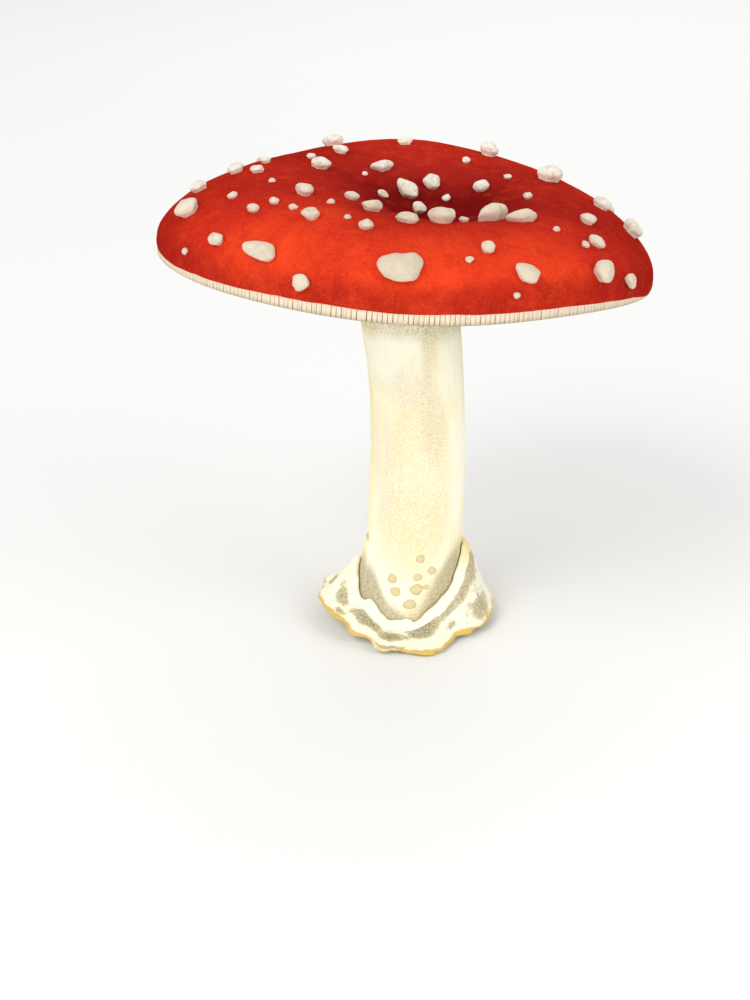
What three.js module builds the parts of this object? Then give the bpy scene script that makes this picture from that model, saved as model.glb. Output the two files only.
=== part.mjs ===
// Fly agaric mushroom, cut flat at the foot so that it stands by itself.
// Millimetres, +Z up. The origin is the middle of the flat cut under the bulb, and -Y is the front.
import * as THREE from 'three';

// Gap between pieces that touch
const GAP = 0.35;

// Cap: a flat-topped dome with an off-centre dish and a wavy margin, tilted on the stem
const CAP_CENTRE = new THREE.Vector3(-0.1, 6, 117.2);
const CAP_ROLL = THREE.MathUtils.degToRad(3.4);
const CAP_PITCH = THREE.MathUtils.degToRad(-2.4);
const CAP_RADIUS = 72.9;
const CAP_RISE = 22.4;
const CROWN_FLATNESS = 3.25;
const SHOULDER_ROUNDNESS = 0.69;
const MARGIN_DROP = 3.5;
const MARGIN_TUCK = 0.8;
const DOME_SHARE = 0.94;
const DISH = { depth: 13, spread: 26, x: 8, y: -13 };
const MARGIN_WAVES = [
  { lobes: 2, lift: 3.55, crest: 85 },
  { lobes: 3, lift: 2.6, crest: -36.5 },
  { lobes: 4, lift: 0.8, crest: 1 },
  { lobes: 5, lift: 0.63, crest: 23 },
];
const CAP_SEGMENTS = 60;
const SKIN_STEPS = 16;
const FLESH_SEAT = 2.5;
const FLESH_SEAT_RADIUS = 44;
const FLESH_EDGE_INSET = 1.7;
const FLESH_FALL = 1.6;
const FLESH_BEND_RADII = [55, 64];

// Gills: a ring of folds under the flesh, free of the stem, whose outer ends show as a pale band
const GILL_FOLDS = 50;
const GILL_INNER_RADIUS = 20.5;
const GILL_BAND = 2.8;
const GILL_BAND_INSET = 1.5;
const GILL_BAND_LIFTS = [
  { lift: 1.7, bearing: 180, spread: 50 },
  { lift: 1.6, bearing: 0, spread: 45 },
];
const GILL_DEPTHS = [
  { radius: 21.5, depth: 2.5 },
  { radius: 30, depth: 7.8 },
  { radius: 46, depth: 9.8 },
  { radius: 62, depth: 9.8 },
];
const FOLD_DEPTH_SHARE = 0.45;

// Stem: slightly bowed, widening into the cap above and into a bulb below
const STEM_BOW = 5;
const STEM_TOP_SHIFT = new THREE.Vector2(-2, 5);
const STEM_HEIGHT = CAP_CENTRE.z + FLESH_SEAT - GAP;
const STEM_SEGMENTS = 36;
const STEM_PROFILE = [
  { radius: 15.2, height: 0 },
  { radius: 16, height: 1.2 },
  { radius: 16.4, height: 6 },
  { radius: 15.9, height: 12 },
  { radius: 15.2, height: 18 },
  { radius: 14.5, height: 25 },
  { radius: 14.2, height: 33 },
  { radius: 14.4, height: 44 },
  { radius: 14.2, height: 58 },
  { radius: 14.1, height: 72 },
  { radius: 14.3, height: 86 },
  { radius: 14.9, height: 98 },
  { radius: 15.9, height: 109 },
  { radius: 17.4, height: STEM_HEIGHT },
];

// Volva: a torn cup round the foot, with an inner collar and a flared outer skirt
const SHEET = 1.2;
const RIM_HEIGHT = 15;
const RIM_LIFTS = [
  { lift: 9.5, bearing: 0, spread: 32 },
  { lift: -9.7, bearing: -90, spread: 48 },
  { lift: 1, bearing: -64, spread: 12 },
  { lift: -1.6, bearing: -113, spread: 18 },
  { lift: -4.2, bearing: -150, spread: 14 },
  { lift: 2.5, bearing: 176, spread: 14 },
];
const RIM_RADIUS = 17.2;
const RIM_SPREADS = [
  { lift: -1.1, bearing: 0, spread: 35 },
  { lift: 1.1, bearing: -90, spread: 60 },
];
const COLLAR_FOOT = { radius: 18.6, height: 1.6 };
const COLLAR_SEGMENTS = 48;
const SKIRT_BELOW_RIM = 1.6;
const HEM_RADIUS = 26.2;
const HEM_SPREADS = [
  { lift: 1.5, bearing: -72, spread: 42 },
  { lift: 0.7, bearing: -160, spread: 12 },
  { lift: -1.6, bearing: -139, spread: 7 },
  { lift: -2.2, bearing: -117, spread: 6 },
  { lift: 2.5, bearing: -104, spread: 8 },
  { lift: 2.7, bearing: -77, spread: 10 },
  { lift: -3.1, bearing: -48, spread: 14 },
  { lift: 1.8, bearing: 38, spread: 10 },
  { lift: -1.4, bearing: 61, spread: 8 },
  { lift: 1.8, bearing: 88, spread: 11 },
  { lift: -1.5, bearing: 113, spread: 8 },
  { lift: 1.5, bearing: 136, spread: 10 },
];
const HEM_HEIGHT = 1.5;
const HEM_LIFTS = [
  { lift: 7, bearing: 180, spread: 55 },
  { lift: 2.5, bearing: 0, spread: 45 },
];
const SKIRT_SEGMENTS = 96;
const SHEET_STEPS = 4;
const SKIRT_CURVE = 1.4;
const COLLAR_FACING = { radius: 1, height: 0 };
const SKIRT_FACING = { radius: 0.75, height: 0.65 };

// Warts: "from" is the way along the skin from the crown, "bearing" is in degrees round the cap from +X,
// "long" runs round the cap unless "turn" swings it, "waist" pinches a double wart in the middle, and "rise"
// is its height as a share of its mean width
const WART_RISE = 0.6;
const WART_TALLEST = 4.8;
const WART_AROUND = 8;
const WART_RINGS = 5;
const WART_LUMPS = [
  { lobes: 2, depth: 0.08, twist: 1.7 },
  { lobes: 3, depth: 0.07, twist: 2.9 },
];
const FRONT_WARTS = [
  { from: 71, bearing: -92, long: 12, wide: 9.5, rise: 0.34 },
  { from: 73, bearing: -64, long: 7, wide: 6.2, rise: 0.46 },
  { from: 63, bearing: -71, long: 4.3, wide: 4.4 },
  { from: 67, bearing: -76.5, long: 2.6, wide: 2.4 },
  { from: 72, bearing: -125, long: 9, wide: 6, turn: -10, rise: 0.4 },
  { from: 78.5, bearing: -113, long: 4.6, wide: 3.8 },
  { from: 55, bearing: -120, long: 5.6, wide: 4.4 },
  { from: 55, bearing: -103, long: 4.4, wide: 4 },
];
const LIP_WARTS = [
  { from: 47, bearing: -91.5, long: 7, wide: 5.2, rise: 0.46 },
  { from: 44, bearing: -79.5, long: 8.2, wide: 7.2 },
  { from: 7.5, bearing: -68.5, long: 4.4, wide: 5.4 },
  { from: 42.5, bearing: -70.5, long: 3.4, wide: 3.2 },
  { from: 41, bearing: -55.5, long: 12, wide: 7, turn: 22, waist: 0.45, rise: 0.3 },
  { from: 47.5, bearing: -48.5, long: 11.5, wide: 4.8, waist: 0.45, rise: 0.36 },
  { from: 40.5, bearing: -105.5, long: 5.8, wide: 5 },
  { from: 32.5, bearing: -120.5, long: 4.2, wide: 4 },
];
const DISH_WARTS = [
  { from: 1.5, bearing: 133.5, long: 6.8, wide: 7 },
  { from: 9.5, bearing: 47.5, long: 5.5, wide: 5.4 },
  { from: 10, bearing: -142, long: 3.8, wide: 3.6 },
  { from: 11, bearing: 4, long: 3.2, wide: 3 },
  { from: 21.5, bearing: 11.5, long: 5, wide: 5 },
  { from: 12.5, bearing: 128.5, long: 8, wide: 4.4, waist: 0.5 },
  { from: 34.5, bearing: -11, long: 3.6, wide: 3.2 },
  { from: 27.5, bearing: 52, long: 2.8, wide: 3.2 },
  { from: 30.5, bearing: 19, long: 2.8, wide: 2.6 },
];
const LEFT_WARTS = [
  { from: 26, bearing: 180, long: 5, wide: 6, turn: 20 },
  { from: 30.5, bearing: 160, long: 3.6, wide: 3.2 },
  { from: 42.5, bearing: -134, long: 6.4, wide: 5.2 },
  { from: 52, bearing: -136.5, long: 3.6, wide: 2.8 },
  { from: 52.5, bearing: -128, long: 3, wide: 2.6 },
  { from: 58, bearing: -138.5, long: 4.2, wide: 3.2 },
  { from: 56, bearing: -152.5, long: 3.2, wide: 3 },
  { from: 67.5, bearing: -160.5, long: 6.6, wide: 6.4 },
  { from: 72, bearing: -139, long: 4.8, wide: 4.5 },
  { from: 50, bearing: 180, long: 5.4, wide: 5 },
  { from: 44, bearing: -172.5, long: 4.2, wide: 4 },
  { from: 42.5, bearing: 170.5, long: 3.8, wide: 3.6 },
  { from: 61, bearing: -174.5, long: 4.8, wide: 5.2 },
];
const RIGHT_WARTS = [
  { from: 43.5, bearing: 18, long: 7, wide: 7.4 },
  { from: 56, bearing: -3, long: 5.4, wide: 6 },
  { from: 66, bearing: -7.5, long: 6, wide: 6 },
  { from: 56, bearing: -27.5, long: 4.6, wide: 5 },
  { from: 65, bearing: -37, long: 3.8, wide: 5 },
  { from: 65, bearing: -41.5, long: 2.8, wide: 2.6 },
  { from: 75, bearing: -43, long: 6.6, wide: 6.4 },
  { from: 78.5, bearing: -33, long: 4, wide: 3.8 },
];
const BACK_WARTS = [
  { from: 28.5, bearing: 135.5, long: 4, wide: 5.4 },
  { from: 42.5, bearing: 122, long: 6.4, wide: 6.6, rise: 0.56 },
  { from: 35, bearing: 92, long: 4.6, wide: 4.2 },
  { from: 43, bearing: 55.5, long: 6.2, wide: 7.2 },
  { from: 71, bearing: 85, long: 8, wide: 7, rise: 0.4 },
  { from: 74, bearing: 112, long: 9, wide: 7, rise: 0.4 },
  { from: 64, bearing: 132, long: 6, wide: 5.5, rise: 0.4 },
  { from: 73, bearing: 148, long: 6.5, wide: 5.5, rise: 0.4 },
  { from: 68, bearing: 58, long: 6, wide: 6.4, rise: 0.4 },
];

// Surfaces
const SKIN = { color: 0xe0402a, roughness: 0.38, metalness: 0 };
const WART = { color: 0xeadac4, roughness: 0.85, metalness: 0 };
const GILL = { color: 0xdbcdb7, roughness: 0.8, metalness: 0 };
const STEM = { color: 0xfbf2ca, roughness: 0.8, metalness: 0 };
const VOLVA = { color: 0xfbf8dc, roughness: 0.85, metalness: 0 };

// Curve of the skin from the crown to the tucked edge of the margin, as radius and height in the cap
class CapProfile extends THREE.Curve {
  getPoint(t, target = new THREE.Vector2()) {
    if (t > DOME_SHARE) {
      const tuck = (t - DOME_SHARE) / (1 - DOME_SHARE);
      return target.set(CAP_RADIUS - MARGIN_TUCK * tuck ** 2, -MARGIN_DROP * tuck);
    }
    const angle = (t / DOME_SHARE) * Math.PI / 2;
    const radius = CAP_RADIUS * Math.sin(angle) ** (2 / CROWN_FLATNESS);
    const height = CAP_RISE * Math.cos(angle) ** (2 * SHOULDER_ROUNDNESS);
    return target.set(radius, height);
  }
}
const capProfile = new CapProfile();
const skinLength = capProfile.getLength();

// Smooth hill of height 1 at a bearing, all in degrees
function hill(bearing, centre, spread) {
  const away = THREE.MathUtils.euclideanModulo(bearing - centre + 180, 360) - 180;
  return Math.exp(-((away / spread) ** 2));
}

function liftAt(bearing, lifts) {
  return lifts.reduce((sum, hump) => sum + hump.lift * hill(bearing, hump.bearing, hump.spread), 0);
}

function waveAt(bearing, waves) {
  const turn = (wave) => THREE.MathUtils.degToRad(wave.lobes * (bearing - wave.crest));
  return waves.reduce((sum, wave) => sum + wave.lift * Math.cos(turn(wave)), 0);
}

function bearingOf(x, y) {
  return THREE.MathUtils.radToDeg(Math.atan2(y, x));
}

// Lift of the wavy margin, which fades out towards the crown
function marginLift(x, y) {
  const share = Math.hypot(x, y) / CAP_RADIUS;
  return waveAt(bearingOf(x, y), MARGIN_WAVES) * share ** 3;
}

function dishDrop(x, y) {
  const away = Math.hypot(x - DISH.x, y - DISH.y) / DISH.spread;
  return DISH.depth * Math.exp(-(away ** 2));
}

// Solid turned about +Z from a list of radius and height points
function turned(points, segments) {
  const outline = points.map((point) => new THREE.Vector2(point.radius, point.height));
  const geometry = new THREE.LatheGeometry(outline, segments);
  return geometry.rotateX(Math.PI / 2);
}

// Moves every vertex by a rule that is given its place and its number
function reshape(geometry, rule) {
  const places = geometry.attributes.position;
  const place = new THREE.Vector3();
  for (let index = 0; index < places.count; index += 1) {
    place.fromBufferAttribute(places, index);
    rule(place, index);
    places.setXYZ(index, place.x, place.y, place.z);
  }
  geometry.computeVertexNormals();
  return geometry;
}

// Height of the flesh's lower face in the cap, level in the middle and falling to the margin
function fleshHeight(radius) {
  const edge = CAP_RADIUS - FLESH_EDGE_INSET;
  const share = THREE.MathUtils.clamp((radius - FLESH_SEAT_RADIUS) / (edge - FLESH_SEAT_RADIUS), 0, 1);
  return FLESH_SEAT - (FLESH_SEAT + MARGIN_DROP) * share ** FLESH_FALL;
}

function fleshPoints(radii, drop) {
  return radii.map((radius) => ({ radius, height: fleshHeight(radius) - drop }));
}

function capGeometry() {
  const edge = CAP_RADIUS - FLESH_EDGE_INSET;
  const under = fleshPoints([0, GILL_INNER_RADIUS, FLESH_SEAT_RADIUS, ...FLESH_BEND_RADII, edge], 0);
  const skin = [];
  for (let step = 0; step <= SKIN_STEPS; step += 1) {
    const spot = capProfile.getPointAt(1 - step / SKIN_STEPS);
    skin.push({ radius: spot.x, height: spot.y });
  }
  skin[SKIN_STEPS].radius = 0;
  const points = [...under, ...skin];
  return reshape(turned(points, CAP_SEGMENTS), (place, index) => {
    const onSkin = index % points.length >= under.length;
    place.z += marginLift(place.x, place.y) - (onSkin ? dishDrop(place.x, place.y) : 0);
  });
}

function gillGeometry() {
  const outer = CAP_RADIUS - GILL_BAND_INSET;
  const radii = [GILL_INNER_RADIUS, FLESH_SEAT_RADIUS, ...FLESH_BEND_RADII, outer];
  const top = fleshPoints(radii, GAP).reverse();
  const bandFoot = { radius: outer, height: fleshHeight(outer) - GAP - GILL_BAND };
  const edge = GILL_DEPTHS.map(({ radius, depth }) => ({ radius, height: FLESH_SEAT - depth }));
  const points = [...edge, bandFoot, ...top, edge[0]];
  return reshape(turned(points, 2 * GILL_FOLDS), (place, index) => {
    const row = index % points.length;
    const column = Math.floor(index / points.length);
    const radius = Math.hypot(place.x, place.y);
    const isEdge = row < edge.length || row === points.length - 1;
    if (isEdge && column % 2 === 1) {
      place.z += FOLD_DEPTH_SHARE * (fleshHeight(radius) - GAP - place.z);
    }
    if (row === edge.length) {
      place.z += liftAt(bearingOf(place.x, place.y), GILL_BAND_LIFTS);
    }
    place.z += marginLift(place.x, place.y);
  });
}

// Sideways shift of the stem's axis at a height
function stemShift(height) {
  const share = height / STEM_HEIGHT;
  const bow = STEM_BOW * Math.sin(Math.PI * share);
  return new THREE.Vector2(STEM_TOP_SHIFT.x * share + bow, STEM_TOP_SHIFT.y * share);
}

function stemGeometry(capMatrix) {
  const seat = new THREE.Plane(new THREE.Vector3(0, 0, 1), GAP - FLESH_SEAT).applyMatrix4(capMatrix);
  const axisEnd = (height) => ({ radius: 0, height });
  const points = [axisEnd(0), ...STEM_PROFILE, axisEnd(STEM_HEIGHT)];
  return reshape(turned(points, STEM_SEGMENTS), (place) => {
    const isTop = place.z > STEM_HEIGHT - GAP;
    const shift = stemShift(place.z);
    place.x += shift.x;
    place.y += shift.y;
    if (isTop) {
      place.z = -(seat.constant + seat.normal.x * place.x + seat.normal.y * place.y) / seat.normal.z;
    }
  });
}

function rimHeight(bearing) {
  return RIM_HEIGHT + liftAt(bearing, RIM_LIFTS);
}

// Radius of the collar's outer face at a bearing and height: it leans out in front and in elsewhere
function collarRadius(bearing, height) {
  const rimRadius = RIM_RADIUS + liftAt(bearing, RIM_SPREADS);
  const share = (height - COLLAR_FOOT.height) / (rimHeight(bearing) - COLLAR_FOOT.height);
  return THREE.MathUtils.lerp(COLLAR_FOOT.radius, rimRadius, share);
}

// Closed ring of sheet material, first turned as a straight band one unit high. "middle" gives the radius
// and height of its middle for a bearing and a share of the way up, and "facing" is its outward slant
function sheetGeometry(segments, middle, facing) {
  const bandRadius = HEM_RADIUS;
  const up = [];
  for (let step = 0; step <= SHEET_STEPS; step += 1) {
    up.push({ radius: bandRadius + SHEET / 2, height: step / SHEET_STEPS });
  }
  const down = up.map((point) => ({ radius: bandRadius - SHEET / 2, height: point.height })).reverse();
  const geometry = turned([...up, ...down, up[0]], segments);
  return reshape(geometry, (place) => {
    const side = Math.sign(Math.hypot(place.x, place.y) - bandRadius);
    const bearing = bearingOf(place.x, place.y);
    const spot = middle(bearing, THREE.MathUtils.clamp(place.z, 0, 1));
    const radius = spot.radius + side * facing.radius * SHEET / 2;
    const angle = THREE.MathUtils.degToRad(bearing);
    const shift = stemShift(spot.height);
    place.set(radius * Math.cos(angle) + shift.x, radius * Math.sin(angle) + shift.y, 0);
    place.z = spot.height + side * facing.height * SHEET / 2;
  });
}

function collarGeometry() {
  const middle = (bearing, share) => {
    const height = THREE.MathUtils.lerp(COLLAR_FOOT.height, rimHeight(bearing), share);
    return { radius: collarRadius(bearing, height) - SHEET / 2, height };
  };
  return sheetGeometry(COLLAR_SEGMENTS, middle, COLLAR_FACING);
}

function skirtGeometry() {
  const middle = (bearing, share) => {
    const topHeight = rimHeight(bearing) - SKIRT_BELOW_RIM;
    const topRadius = collarRadius(bearing, topHeight) + GAP + SHEET / 2;
    const hemRadius = HEM_RADIUS + liftAt(bearing, HEM_SPREADS);
    const hemHeight = HEM_HEIGHT + liftAt(bearing, HEM_LIFTS);
    return {
      radius: THREE.MathUtils.lerp(hemRadius, topRadius, share),
      height: THREE.MathUtils.lerp(hemHeight, topHeight, share ** SKIRT_CURVE),
    };
  };
  return sheetGeometry(SKIRT_SEGMENTS, middle, SKIRT_FACING);
}

// Place on the skin for a spot on the skin laid out flat, raised off it by "lift"
function skinPlace(flatX, flatY, lift) {
  const raw = (x, y) => {
    const spot = capProfile.getPointAt(Math.min(Math.hypot(x, y) / skinLength, 1));
    const angle = Math.atan2(y, x);
    const place = new THREE.Vector3(spot.x * Math.cos(angle), spot.x * Math.sin(angle), spot.y);
    place.z += marginLift(place.x, place.y) - dishDrop(place.x, place.y);
    return place;
  };
  const step = GAP;
  const place = raw(flatX, flatY);
  const alongX = raw(flatX + step, flatY).sub(raw(flatX - step, flatY));
  const alongY = raw(flatX, flatY + step).sub(raw(flatX, flatY - step));
  return place.addScaledVector(alongX.cross(alongY).normalize(), lift);
}

// Lumpy dome that follows the skin underneath
function wartGeometry(wart, number) {
  const { from, long, wide, turn = 0, waist = 0, rise = WART_RISE } = wart;
  const bearing = THREE.MathUtils.degToRad(wart.bearing);
  const swing = THREE.MathUtils.degToRad(turn);
  const flatStretch = from / capProfile.getPointAt(from / skinLength).x;
  const height = Math.min(rise * Math.sqrt(long * wide), WART_TALLEST);
  const ball = new THREE.SphereGeometry(1, WART_AROUND, WART_RINGS).rotateX(Math.PI / 2);
  return reshape(ball, (place) => {
    const way = Math.atan2(place.y, place.x);
    const lump = ({ lobes, depth, twist }) => depth * Math.cos(lobes * way + twist * number);
    const lumps = WART_LUMPS.reduce((sum, each) => sum + lump(each), 1);
    const outline = lumps * (1 - waist * Math.sin(way) ** 2);
    const alongLength = place.x * outline * long / 2;
    const alongWidth = place.y * outline * wide / 2;
    const around = (alongLength * Math.cos(swing) - alongWidth * Math.sin(swing)) * flatStretch;
    const outward = from + alongLength * Math.sin(swing) + alongWidth * Math.cos(swing);
    const flatX = outward * Math.cos(bearing) + around * Math.sin(bearing);
    const flatY = outward * Math.sin(bearing) - around * Math.cos(bearing);
    place.copy(skinPlace(flatX, flatY, GAP + height * Math.max(place.z, 0)));
  });
}

function piece(name, geometry, surface) {
  const mesh = new THREE.Mesh(geometry, new THREE.MeshStandardMaterial(surface));
  mesh.name = name;
  return mesh;
}

const cap = new THREE.Group();
cap.position.copy(CAP_CENTRE);
cap.rotation.set(CAP_PITCH, CAP_ROLL, 0);
cap.updateMatrix();
cap.add(piece('cap', capGeometry(), SKIN));
cap.add(piece('gills', gillGeometry(), GILL));
const warts = [FRONT_WARTS, LIP_WARTS, DISH_WARTS, LEFT_WARTS, RIGHT_WARTS, BACK_WARTS].flat();
warts.forEach((wart, index) => {
  const name = `wart_${String(index + 1).padStart(2, '0')}`;
  cap.add(piece(name, wartGeometry(wart, index), WART));
});

const mushroom = new THREE.Group();
mushroom.add(cap);
mushroom.add(piece('stem', stemGeometry(cap.matrix), STEM));
mushroom.add(piece('volva_collar', collarGeometry(), VOLVA));
mushroom.add(piece('volva_skirt', skirtGeometry(), VOLVA));

export default mushroom;
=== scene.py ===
"""Looks of a fly agaric mushroom: red skin, warts, gills, stem, scales and torn volva."""
import math
import random

import bpy
from mathutils import Matrix, Vector, noise


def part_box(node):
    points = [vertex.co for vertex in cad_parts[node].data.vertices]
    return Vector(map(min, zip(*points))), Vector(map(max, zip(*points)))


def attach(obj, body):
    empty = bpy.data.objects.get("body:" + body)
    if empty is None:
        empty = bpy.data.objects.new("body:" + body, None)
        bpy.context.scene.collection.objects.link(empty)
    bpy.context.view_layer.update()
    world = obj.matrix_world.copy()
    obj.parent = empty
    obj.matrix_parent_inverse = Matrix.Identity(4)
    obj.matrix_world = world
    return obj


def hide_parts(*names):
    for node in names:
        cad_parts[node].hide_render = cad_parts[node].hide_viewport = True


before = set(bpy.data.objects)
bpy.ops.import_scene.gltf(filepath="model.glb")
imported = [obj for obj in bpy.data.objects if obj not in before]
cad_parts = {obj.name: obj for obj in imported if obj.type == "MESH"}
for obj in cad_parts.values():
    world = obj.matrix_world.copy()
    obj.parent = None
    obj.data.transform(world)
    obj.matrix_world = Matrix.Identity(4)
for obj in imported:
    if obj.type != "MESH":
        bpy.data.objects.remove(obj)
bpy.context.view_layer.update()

MM = 0.001

# Cap: its place on the stem, its size, the waves of its margin as lobes, lift and bearing of a crest, the
# power by which they fade inwards, and the dish
CAP_CENTRE = Vector((-0.1, 6.0, 117.2)) * MM
CAP_ROLL = math.radians(3.4)
CAP_PITCH = math.radians(-2.4)
CAP_RADIUS = 72.9 * MM
MARGIN_WAVES = ((2, 3.55 * MM, 85.0), (3, 2.6 * MM, -36.5), (4, 0.8 * MM, 1.0), (5, 0.63 * MM, 23.0))
MARGIN_FADE = 3
DISH_CENTRE = CAP_CENTRE + Vector((9.0, -9.0, 0.0)) * MM
DISH_SHAPE = (0.74, 1.0, 0.0)
CAP_FRAME = (
    Matrix.Translation(CAP_CENTRE)
    @ Matrix.Rotation(CAP_PITCH, 4, "X")
    @ Matrix.Rotation(CAP_ROLL, 4, "Y")
)

# Flesh above the gills: level in the middle, then falling to the margin
FLESH_SEAT = 2.5 * MM
FLESH_SEAT_RADIUS = 44.0 * MM
FLESH_EDGE = CAP_RADIUS - 1.7 * MM
FLESH_EDGE_DROP = 3.5 * MM
FLESH_FALL = 1.6

# Inner edge of the red skin, the width in which it fades to pale flesh, and how high the pale flesh reaches
SKIN_EDGE = CAP_RADIUS - 1.5 * MM
FLESH_FADE = 0.5 * MM
FLESH_BAND = 1.2 * MM

# Where the margin rolls further down over the gills, as drop, bearing and spread, and the part that rolls
MARGIN_ROLLS = ((1.1 * MM, -17.0, 15.0),)
MARGIN_ROLL_WIDTH = 1.0 * MM
MARGIN_ROLL_HEIGHTS = (-1.5 * MM, 2.0 * MM)

# Streaks of the skin: how many per radian round the cap and per metre outwards
STREAKS_ROUND = 18.0
STREAKS_OUTWARD = 50.0

# Lumps of the skin, as depth and size
SKIN_LUMPS = ((0.3 * MM, 15.0 * MM), (0.1 * MM, 4.0 * MM))

# Warts: flat-topped, chipped and uneven flakes, the directions in which some of them run to a point, and how
# much higher some of them stand
WART_SWELL = 1.23
WART_FACETS = 9
WART_FLATNESS = 1.14
WART_STEEPNESS = 0.72
WART_PINCH = 0.42
WART_UNEVEN = 0.22
WART_POINTS = {
    "wart_05": Vector((-1.0, 0.0, 0.25)).normalized(),
    "wart_13": Vector((-1.0, -0.9, 0.0)).normalized(),
    "wart_14": Vector((-1.0, 0.0, 0.0)),
    "wart_22": Vector((-1.0, 0.0, 0.0)),
}
WART_LIFTS = {"wart_13": 1.9, "wart_14": 1.3}

# Foot of a wart: how far it is pressed into the skin, and which faces belong to it
WART_FOOT = 0.8 * MM
WART_FOOT_FACING = 0.6

# Outline of a wart: where it neither pinches nor bulges, the size and seeds of its lobes, and how it runs to
# a point
WART_WAIST = 0.75
WART_LOBE = 0.9
WART_SEEDS = 50.0
POINT_STRETCH = 0.5
POINT_NARROWING = 1.4

# Facets: their lean away from the skin, how much they cut off, and how flat they are
CHIP_OUTWARD = 0.5
CHIP_REACH = (0.8, 0.96)
CHIP_DEPTH = 0.66

# Crumbs of a wart, as depth and size in shares of its width, and how far above the skin its crust is palest
WART_CRUMBS = ((0.022, 0.26), (0.008, 0.09))
CRUST_SHARE = 0.3
THINNEST_CRUST = 1.2 * MM

# Small warts and scales: a ball with a ragged outline, and its shape as shares of its width or as a height.
# A scale sits where a line from outside towards the axis meets the stem
PATCH_AROUND = 32
PATCH_RINGS = 12
PATCH_RAGGED = 0.3
PATCH_LOBE = 1.1
PATCH_SEEDS = 89
SMALL_WART_SHAPE = (1.0, 0.85, 0.42)
SCALE_HEIGHT = 0.35 * MM
SCALE_AXIS = Vector((2.0, 1.0, 0.0)) * MM
SCALE_OUTSIDE = 60.0 * MM

# Small warts by bearing and height over the cap's middle, both in degrees, with their width in millimetres
SMALL_WARTS = (
    (161.5, 52.5, 1.9), (-155.0, 24.0, 2.3), (-120.5, 23.0, 2.5), (-110.0, 18.5, 2.1), (-148.5, 2.0, 2.3),
    (-44.5, 15.0, 2.3), (-67.0, 2.5, 2.0), (40.0, 14.0, 3.4), (75.0, 9.0, 2.6), (100.0, 12.0, 3.0),
    (125.0, 8.0, 2.2), (150.0, 17.0, 2.8), (152.0, 6.0, 3.2), (15.0, 8.0, 3.0), (30.0, 4.0, 2.4),
    (52.0, 5.0, 2.8), (95.0, 3.0, 2.4), (138.0, 3.5, 2.6),
)

# Scales on the stem by bearing in degrees and height in millimetres, with their length and width
SCALES = (
    (-80.0, 24.5, 2.6, 2.4), (-66.0, 20.5, 3.0, 2.6), (-83.0, 19.0, 2.8, 2.4), (-112.0, 18.0, 3.2, 3.0),
    (-108.0, 14.0, 3.2, 2.8), (-85.0, 15.0, 4.2, 3.6), (-74.0, 15.5, 1.8, 1.6), (-92.0, 10.5, 4.0, 3.2),
    (20.0, 33.0, 3.0, 2.6), (62.0, 28.0, 3.4, 2.8), (98.0, 24.0, 3.6, 3.0), (128.0, 29.0, 2.6, 2.4),
    (150.0, 23.0, 3.2, 2.8), (-165.0, 27.0, 2.6, 2.2), (80.0, 36.0, 2.2, 2.0), (110.0, 20.5, 2.8, 2.4),
)

# Gills: long ones from the stem to the margin and short ones between them
LONG_GILLS = 165
GILL_END = CAP_RADIUS - 1.25 * MM
LONG_GILL_STATIONS = (20.5, 22.5, 27.0, 33.0, 41.0, 50.0, 58.0, 65.0, 69.5, 70.9)
SHORT_GILL_STATIONS = (46.0, 48.0, 52.0, 58.0, 65.0, 69.5, 70.9)
GILL_DEPTHS = (
    (20.5, 1.0), (22.5, 3.6), (27.0, 6.6), (33.0, 8.4), (46.0, 9.8),
    (62.0, 9.7), (69.5, 9.3), (71.0, 9.0), (72.0, 8.4),
)
GILL_BAND_LIFTS = ((1.7 * MM, 180.0, 50.0), (1.6 * MM, 0.0, 45.0))
GILL_THIN = 0.42 * MM
GILL_THICK = 1.26 * MM
GILL_ROOT = 0.5 * MM

# How a gill thickens outwards and thins downwards, and how far from its inner end it reaches full depth
GILL_TAPER = 1.3
GILL_EDGE_SHARE = 0.92
GILL_START = 6.0 * MM

# Width of the dark lines painted as shade between finer gills, in radians, uneven spacing of the built ones,
# depth of the painted shade at their lower edges, and where the band's lower edge lifts
GILL_GAP_SHADE_WIDTH = 0.011
GILL_WOBBLE = 0.12
GILL_WOBBLE_STEP = 0.7
GILL_PAINTED_SHADE_DEPTH = 3.2 * MM
GILL_LIFT_DEPTH = 2.0 * MM
GILL_LIFT_RADII = (60.0 * MM, 71.0 * MM)

# Stem: its height and bow, its long grooves as depth, size and seed, its swellings, and its rougher foot
STEM_HEIGHT = 119.35 * MM
STEM_BOW = 5.0 * MM
STEM_TOP_SHIFT = Vector((-2.0, 5.0, 0.0)) * MM
GROOVE_STRETCH = 0.09
GROOVES = ((0.13 * MM, 2.4 * MM, 0.0), (0.08 * MM, 1.2 * MM, 5.0))
STEM_SWELLING = (0.35 * MM, 18.0 * MM)
FOOT_ROUGHNESS = (0.2 * MM, 3.0 * MM)
SMOOTH_STEM_HEIGHTS = (18.0 * MM, 45.0 * MM)
CUT_FOOT_HEIGHT = 0.6 * MM
LEVEL_FACE = 0.8


def shade(red, green, blue):
    """Shader colour for a colour given as it looks, from 0 to 255."""

    def linear(level):
        level = level / 255.0
        return level / 12.92 if level <= 0.04045 else ((level + 0.055) / 1.055) ** 2.4

    return (linear(red), linear(green), linear(blue), 1.0)
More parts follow.
